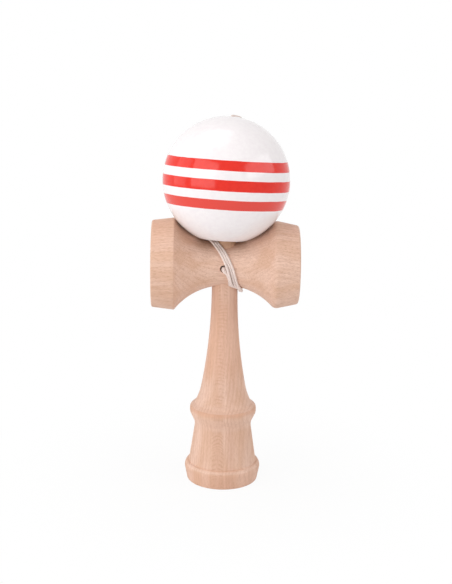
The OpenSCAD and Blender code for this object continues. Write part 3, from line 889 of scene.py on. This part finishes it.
def make_handle():
    piece = turned("turned_handle", handle_profile(), HANDLE_BEECH)
    drill = turned("drill", rod(HOLE_R, -DRILL_REACH, DRILL_REACH), HANDLE_BEECH, DRILL_TURN_STEPS)
    settle(drill, at(WAIST_MID) @ tip("X", 90))
    pocket = turned("pocket", rod(POCKET_R, 0, DRILL_REACH), HANDLE_BEECH, DRILL_TURN_STEPS)
    settle(pocket, at((0, POCKET_FLOOR, CROSS_H)) @ tip("X", -90))
    cut_out(piece, drill, pocket)
    smooth_to(piece, WOOD_SHARP)
    return piece


def make_crosspiece():
    piece = turned("turned_crosspiece", crosspiece_profile(), CROSSPIECE_BEECH)
    settle(piece, at(WAIST_MID) @ tip("Y", 90))
    low, top = SEAT_LOW - SEAT_REACH, SEAT_TOP + SEAT_REACH
    slope = (SPIKE_R - SHAFT_R) / (SEAT_TOP - SEAT_LOW)
    low_r, top_r = SHAFT_R - slope * SEAT_REACH, SPIKE_R + slope * SEAT_REACH
    seat = turned("seat", [(0, low), (low_r, low), (top_r, top), (0, top)], CROSSPIECE_BEECH)
    drill = string_hole_cutter(CROSSPIECE_BEECH)
    settle(drill, at((HOLE_X, -WAIST_R, CROSS_H + HOLE_Z)) @ tip("X", 90))
    cut_out(piece, seat, drill)
    smooth_to(piece, WOOD_SHARP)
    return piece


def make_ball():
    profile = ball_profile()
    piece = turned("lacquered_ball", profile + [profile[0]], LACQUER)
    settle(piece, IN_BALL)
    smooth_to(piece, BALL_SHARP)
    return piece


def make_bead():
    piece = turned("wooden_bead", bead_profile(), BEAD_BEECH, BEAD_TURN_STEPS)
    settle(piece, IN_BALL @ at((0, 0, BEAD_LOW + BEAD_LEN / 2)))
    smooth_to(piece, WOOD_SHARP)
    return piece


KNOT_STEPS = 121
KNOT_SPREAD, KNOT_THICK, KNOT_DROP = 0.42, 0.8, 1.45


def make_knot(name, matrix):
    """An overhand knot, drawn tight, just under zero height."""
    loops = []
    for k in range(KNOT_STEPS):
        a = TURN * k / KNOT_STEPS
        loops.append(Vector((KNOT_SPREAD * (math.sin(a) + 2 * math.sin(2 * a)),
                             KNOT_SPREAD * (math.cos(a) - 2 * math.cos(2 * a)),
                             -KNOT_THICK * math.sin(3 * a) - KNOT_DROP)))
    piece = twisted_string(name, loops + [loops[0]])
    settle(piece, matrix)
    piece.data.materials.append(COTTON)
    return piece


handle, crosspiece, ball, bead = make_handle(), make_crosspiece(), make_ball(), make_bead()
handle_knot = make_knot("handle_knot_tied", at((0, POCKET_FLOOR, CROSS_H)) @ tip("X", 90))
bead_knot = make_knot("bead_knot_tied", IN_BALL @ at((0, 0, BEAD_LOW)))


# What each piece rides on and stands for

for piece, body, finish, nodes in (
        (handle, "stand", "beech", ["handle"]),
        (crosspiece, "stand", "beech", ["crosspiece"]),
        (handle_knot, "stand", "cotton", ["handle_knot"]),
        (string_wound, "stand", "cotton", ["string_lead", "string_winding"]),
        (bead, "string_tip", "bead_wood", ["bead"]),
        (bead_knot, "string_tip", "cotton", ["bead_knot"]),
        (string_end, "string_tip", "cotton", ["string_end"]),
        (ball, "ball", "lacquer", ["ball"])):
    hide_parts(*nodes)
    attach(piece, body)
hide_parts("string_rise")
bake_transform(string_rise)


# Floor and light, in metres and watts

WORLD_COLOUR, WORLD_STRENGTH = (1.0, 0.985, 0.97, 1.0), 0.39
FLOOR_HALF, FLOOR_DROP, FLOOR_GREY = 4.0, 0.02 * MM, (0.9, 0.9, 0.9, 1)
# How white the floor is kept under the toy, and the distances from there to where it is all white
SHADOW_WHITE, SHADOW_FROM, SHADOW_TO = 0.93, 0.02, 0.13
# Each lamp's name, place, aim, size and power
SOFTBOXES = [("key", (-0.75, -0.78, 0.5), (0, 0, 0.14), (0.98, 0.95), 6.9),
             ("fill", (0.92, -0.36, 0.6), (0, 0, 0.12), (1.2, 0.5), 4.3),
             ("overhead", (-0.25, 0.05, 1.1), (0, 0, 0.15), (0.7, 0.7), 2.9),
             ("left_side", (-1.1, 0.05, 0.35), (0, 0, 0.12), (0.6, 0.9), 1.8)]


def white_for_camera(nodes, links, lit, plain):
    """Mixes a shader that light sees with a plain one that the camera, gloss and glass see."""
    path = nodes.new("ShaderNodeLightPath")
    seen = path.outputs["Is Camera Ray"]
    for ray in ("Is Glossy Ray", "Is Transmission Ray"):
        either = nodes.new("ShaderNodeMath")
        either.operation, either.use_clamp = "ADD", True
        links.new(seen, either.inputs[0])
        links.new(path.outputs[ray], either.inputs[1])
        seen = either.outputs[0]
    mix = nodes.new("ShaderNodeMixShader")
    links.new(seen, mix.inputs[0])
    links.new(lit, mix.inputs[1])
    links.new(plain, mix.inputs[2])
    return mix.outputs[0]


def make_world():
    world = bpy.data.worlds.new("studio")
    bpy.context.scene.world = world
    world.use_nodes = True
    nodes, links = world.node_tree.nodes, world.node_tree.links
    soft = nodes["Background"]
    soft.inputs["Color"].default_value = WORLD_COLOUR
    soft.inputs["Strength"].default_value = WORLD_STRENGTH
    white = nodes.new("ShaderNodeBackground")
    white.inputs["Color"].default_value = (1, 1, 1, 1)
    white.inputs["Strength"].default_value = 1.0
    out = white_for_camera(nodes, links, soft.outputs[0], white.outputs[0])
    links.new(out, nodes["World Output"].inputs["Surface"])


def make_floor():
    mesh = bpy.data.meshes.new("floor")
    corners = [(x * FLOOR_HALF, y * FLOOR_HALF, 0) for x, y in ((-1, -1), (1, -1), (1, 1), (-1, 1))]
    mesh.from_pydata(corners, [], [(0, 1, 2, 3)])
    floor = bpy.data.objects.new("floor", mesh)
    floor.location.z = -FLOOR_DROP
    bpy.context.scene.collection.objects.link(floor)
    material = bpy.data.materials.new("white_floor")
    material.use_nodes = True
    nodes, links = material.node_tree.nodes, material.node_tree.links
    matte = nodes["Principled BSDF"]
    matte.inputs["Base Color"].default_value = FLOOR_GREY
    matte.inputs["Roughness"].default_value = 1.0
    matte.inputs["Specular IOR Level"].default_value = 0.0
    white = nodes.new("ShaderNodeEmission")
    white.inputs["Strength"].default_value = 1.0
    spot = nodes.new("ShaderNodeTexCoord")
    far = nodes.new("ShaderNodeVectorMath")
    far.operation = "LENGTH"
    links.new(spot.outputs["Object"], far.inputs[0])
    share = nodes.new("ShaderNodeMapRange")
    share.interpolation_type = "SMOOTHSTEP"
    for key, value in (("From Min", SHADOW_FROM), ("From Max", SHADOW_TO), ("To Min", SHADOW_WHITE),
                       ("To Max", 1.0)):
        share.inputs[key].default_value = value
    links.new(far.outputs["Value"], share.inputs["Value"])
    paper = nodes.new("ShaderNodeMixShader")
    links.new(share.outputs[0], paper.inputs[0])
    links.new(matte.outputs[0], paper.inputs[1])
    links.new(white.outputs[0], paper.inputs[2])
    out = white_for_camera(nodes, links, matte.outputs[0], paper.outputs[0])
    links.new(out, nodes["Material Output"].inputs["Surface"])
    mesh.materials.append(material)


def make_softbox(name, place, aim, size, power):
    data = bpy.data.lights.new(name, "AREA")
    data.shape = "RECTANGLE"
    data.size, data.size_y = size
    data.energy = power
    lamp = bpy.data.objects.new(name, data)
    bpy.context.scene.collection.objects.link(lamp)
    lamp.location = place
    lamp.rotation_euler = (Vector(aim) - Vector(place)).to_track_quat("-Z", "Y").to_euler()


make_world()
make_floor()
for lamp in SOFTBOXES:
    make_softbox(*lamp)
bpy.context.scene.view_settings.view_transform = "Standard"
